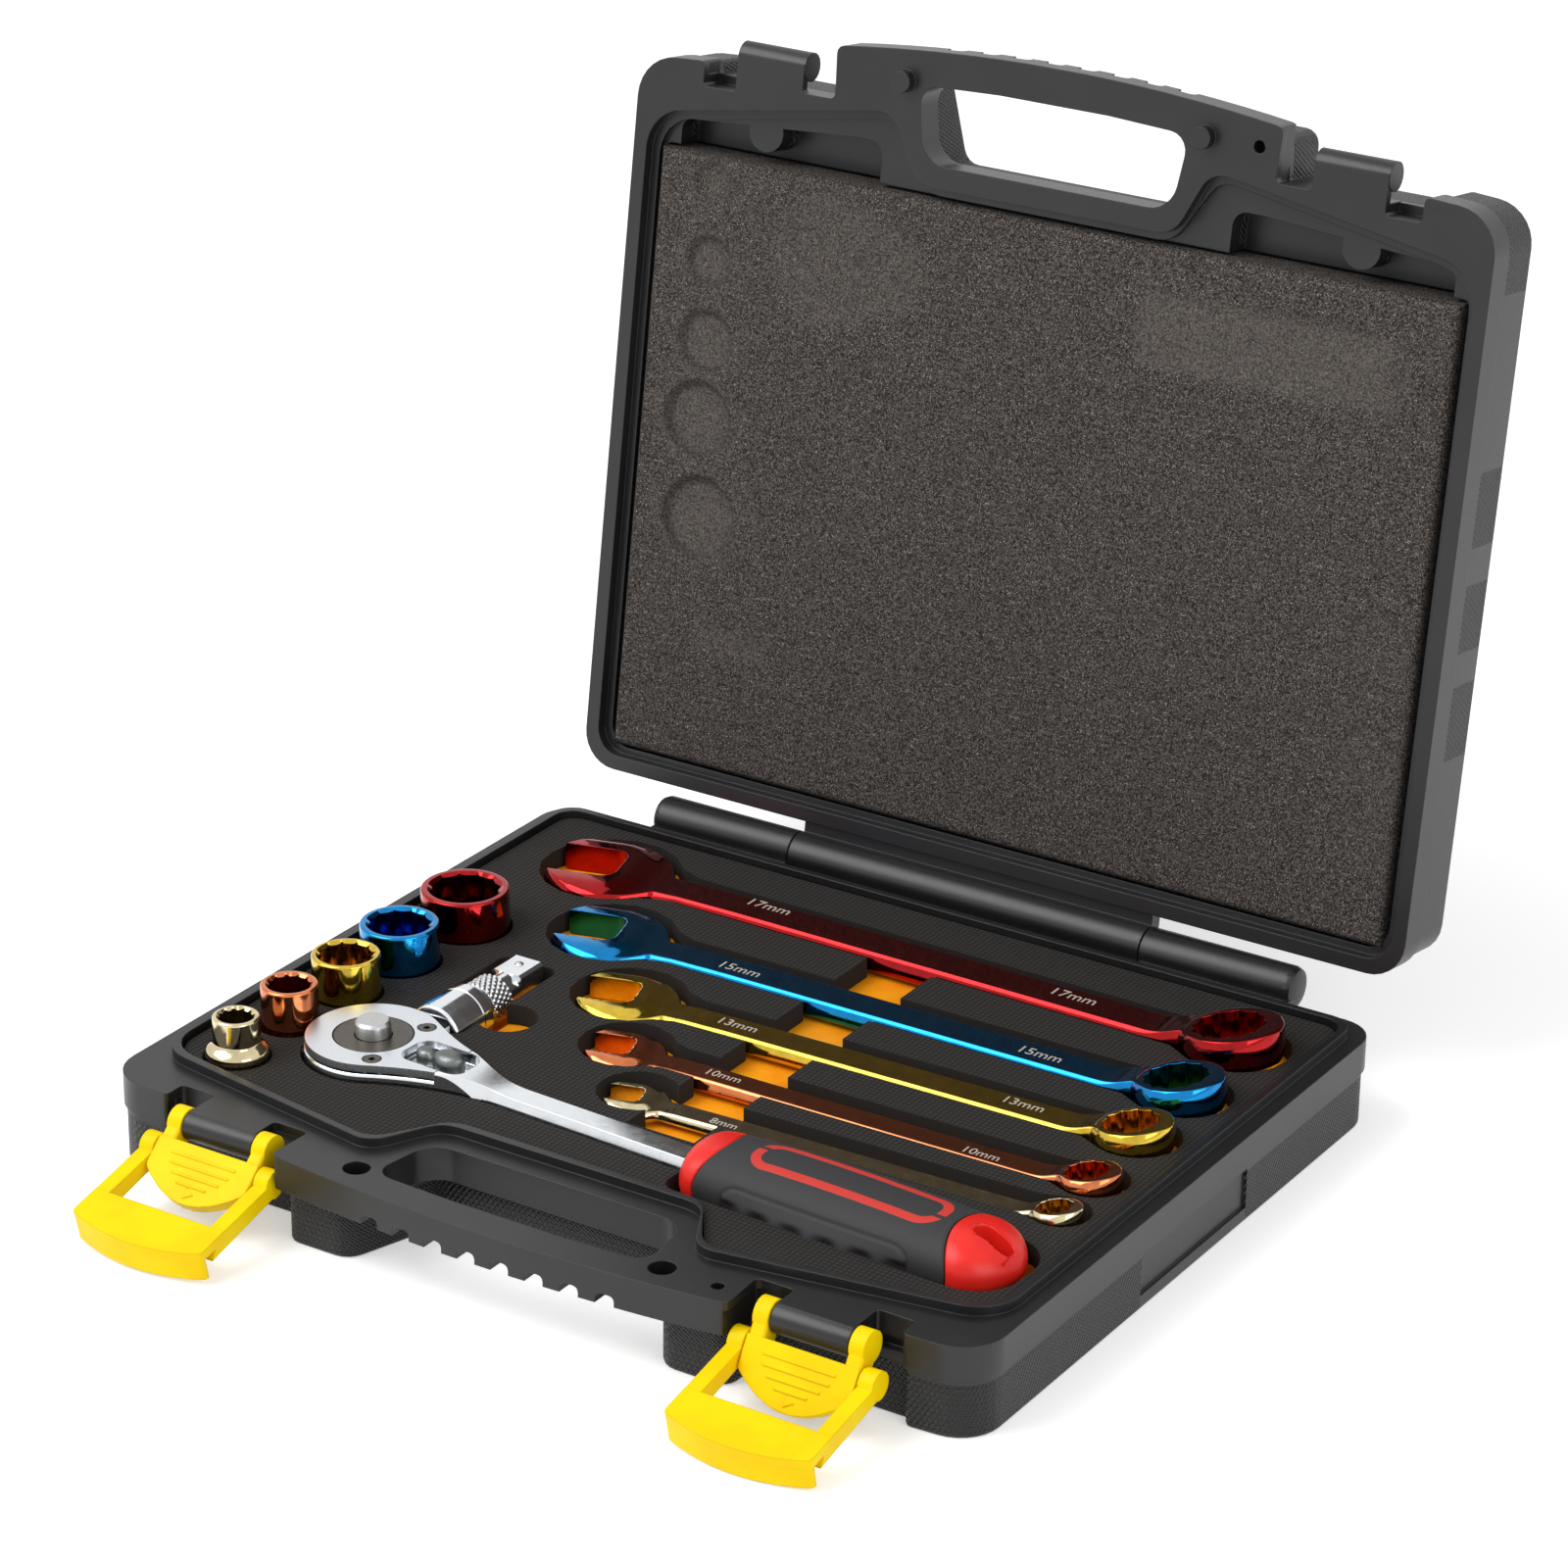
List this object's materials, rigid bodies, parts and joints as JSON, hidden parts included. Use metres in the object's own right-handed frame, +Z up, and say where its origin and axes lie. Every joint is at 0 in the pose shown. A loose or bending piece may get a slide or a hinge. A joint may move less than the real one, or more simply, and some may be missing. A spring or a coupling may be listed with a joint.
{
  "type": "socket wrench set in case",
  "caption": "Open plastic carry case with a foam tray holding sockets, combination spanners, a ratchet handle and an extension bar.",
  "frame": {"origin": "centre of the set's footprint on the surface it stands on, lid open", "axes": "+X to the right along the case's front edge, +Y from the latches to the hinge, +Z up"},
  "size_m": [0.258, 0.3124, 0.2501],
  "materials": {
    "case_plastic": "fine leather grain",
    "latch_plastic": "satin",
    "black_foam": "closed-cell foam with a fine cross-hatched skin",
    "orange_foam": "closed-cell foam",
    "grey_foam": "open-cell foam",
    "chrome": "polished",
    "dark_steel": "blackened",
    "satin_steel": "satin",
    "pewter": "satin",
    "red_metal": "tinted mirror plating",
    "blue_metal": "tinted mirror plating",
    "gold_metal": "tinted mirror plating",
    "copper_metal": "tinted mirror plating",
    "pale_metal": "tinted mirror plating",
    "red_plastic": "satin",
    "black_rubber": "matt"
  },
  "bodies": {
    "base": {"base_shell": "case_plastic", "base_foam_black": "black_foam", "base_foam_orange": "orange_foam", "hinge_pin": "satin_steel"},
    "lid": {"lid_shell": "case_plastic", "lid_foam": "grey_foam"},
    "latch_handle_left": {"latch_handle_left": "latch_plastic"},
    "latch_bail_left": {"latch_bail_left": "latch_plastic"},
    "latch_handle_right": {"latch_handle_right": "latch_plastic"},
    "latch_bail_right": {"latch_bail_right": "latch_plastic"},
    "socket_17mm": {"socket_17mm": "red_metal"},
    "socket_15mm": {"socket_15mm": "blue_metal"},
    "socket_13mm": {"socket_13mm": "gold_metal"},
    "socket_10mm": {"socket_10mm": "copper_metal"},
    "socket_8mm": {"socket_8mm": "pale_metal"},
    "spanner_17mm": {"spanner_17mm": "red_metal"},
    "spanner_15mm": {"spanner_15mm": "blue_metal"},
    "spanner_13mm": {"spanner_13mm": "gold_metal"},
    "spanner_10mm": {"spanner_10mm": "copper_metal"},
    "spanner_8mm": {"spanner_8mm": "pale_metal"},
    "ratchet": {"ratchet_body": "chrome", "ratchet_cover_plate": "chrome", "cover_screw_back": "dark_steel", "cover_screw_front": "dark_steel", "grip_core": "red_plastic", "grip_sleeve": "black_rubber"},
    "drive_gear": {"drive_gear": "dark_steel", "drive_detent_ball": "satin_steel"},
    "release_button": {"release_button": "satin_steel"},
    "reverse_lever": {"reverse_lever": "pewter", "pawl": "dark_steel"},
    "extension_bar": {"extension_bar": "chrome", "extension_detent_ball": "satin_steel"}
  },
  "joints": [
    {"name": "lid_hinge", "type": "hinge", "parent": "base", "child": "lid", "pos_m": [0, 0.0991, 0.025], "axis": [-1, 0, 0], "range_deg": [-98.4, 0]},
    {"name": "latch_handle_left_pivot", "type": "hinge", "parent": "base", "child": "latch_handle_left", "pos_m": [-0.0872, -0.1164, 0.02085], "axis": [-1, 0, 0], "range_deg": [-48, 102]},
    {"name": "latch_bail_left_pivot", "type": "hinge", "parent": "latch_handle_left", "child": "latch_bail_left", "pos_m": [-0.0872, -0.12235, 0.0155], "axis": [1, 0, 0], "range_deg": [-151, 51]},
    {"name": "latch_handle_right_pivot", "type": "hinge", "parent": "base", "child": "latch_handle_right", "pos_m": [0.0872, -0.1164, 0.02085], "axis": [-1, 0, 0], "range_deg": [-32, 118]},
    {"name": "latch_bail_right_pivot", "type": "hinge", "parent": "latch_handle_right", "child": "latch_bail_right", "pos_m": [0.0872, -0.12064, 0.01407], "axis": [1, 0, 0], "range_deg": [-133.5, 68.5]},
    {"name": "socket_17mm_lift", "type": "slide", "parent": "base", "child": "socket_17mm", "axis": [0, 0, 1], "range_m": [0, 0.06]},
    {"name": "socket_15mm_lift", "type": "slide", "parent": "base", "child": "socket_15mm", "axis": [0, 0, 1], "range_m": [0, 0.06]},
    {"name": "socket_13mm_lift", "type": "slide", "parent": "base", "child": "socket_13mm", "axis": [0, 0, 1], "range_m": [0, 0.06]},
    {"name": "socket_10mm_lift", "type": "slide", "parent": "base", "child": "socket_10mm", "axis": [0, 0, 1], "range_m": [0, 0.06]},
    {"name": "socket_8mm_lift", "type": "slide", "parent": "base", "child": "socket_8mm", "axis": [0, 0, 1], "range_m": [0, 0.06]},
    {"name": "spanner_17mm_lift", "type": "slide", "parent": "base", "child": "spanner_17mm", "axis": [0, 0, 1], "range_m": [0, 0.06]},
    {"name": "spanner_15mm_lift", "type": "slide", "parent": "base", "child": "spanner_15mm", "axis": [0, 0, 1], "range_m": [0, 0.06]},
    {"name": "spanner_13mm_lift", "type": "slide", "parent": "base", "child": "spanner_13mm", "axis": [0, 0, 1], "range_m": [0, 0.06]},
    {"name": "spanner_10mm_lift", "type": "slide", "parent": "base", "child": "spanner_10mm", "axis": [0, 0, 1], "range_m": [0, 0.06]},
    {"name": "spanner_8mm_lift", "type": "slide", "parent": "base", "child": "spanner_8mm", "axis": [0, 0, 1], "range_m": [0, 0.06]},
    {"name": "ratchet_lift", "type": "slide", "parent": "base", "child": "ratchet", "axis": [0, 0, 1], "range_m": [0, 0.06]},
    {"name": "extension_bar_lift", "type": "slide", "parent": "base", "child": "extension_bar", "axis": [0, 0, 1], "range_m": [0, 0.06]},
    {"name": "drive_gear_spin", "type": "hinge", "parent": "ratchet", "child": "drive_gear", "pos_m": [-0.0792, -0.06541, 0.025], "axis": [0, 0, 1], "continuous": true},
    {"name": "release_button_press", "type": "slide", "parent": "drive_gear", "child": "release_button", "axis": [0, 0, -1], "range_m": [0, 0.002], "stiffness_N_per_m": 200, "springref_m": -0.001},
    {"name": "reverse_lever_swing", "type": "hinge", "parent": "ratchet", "child": "reverse_lever", "pos_m": [-0.06172, -0.06626, 0.025], "axis": [0, 0, 1], "range_deg": [-15, 15]}
  ]
}
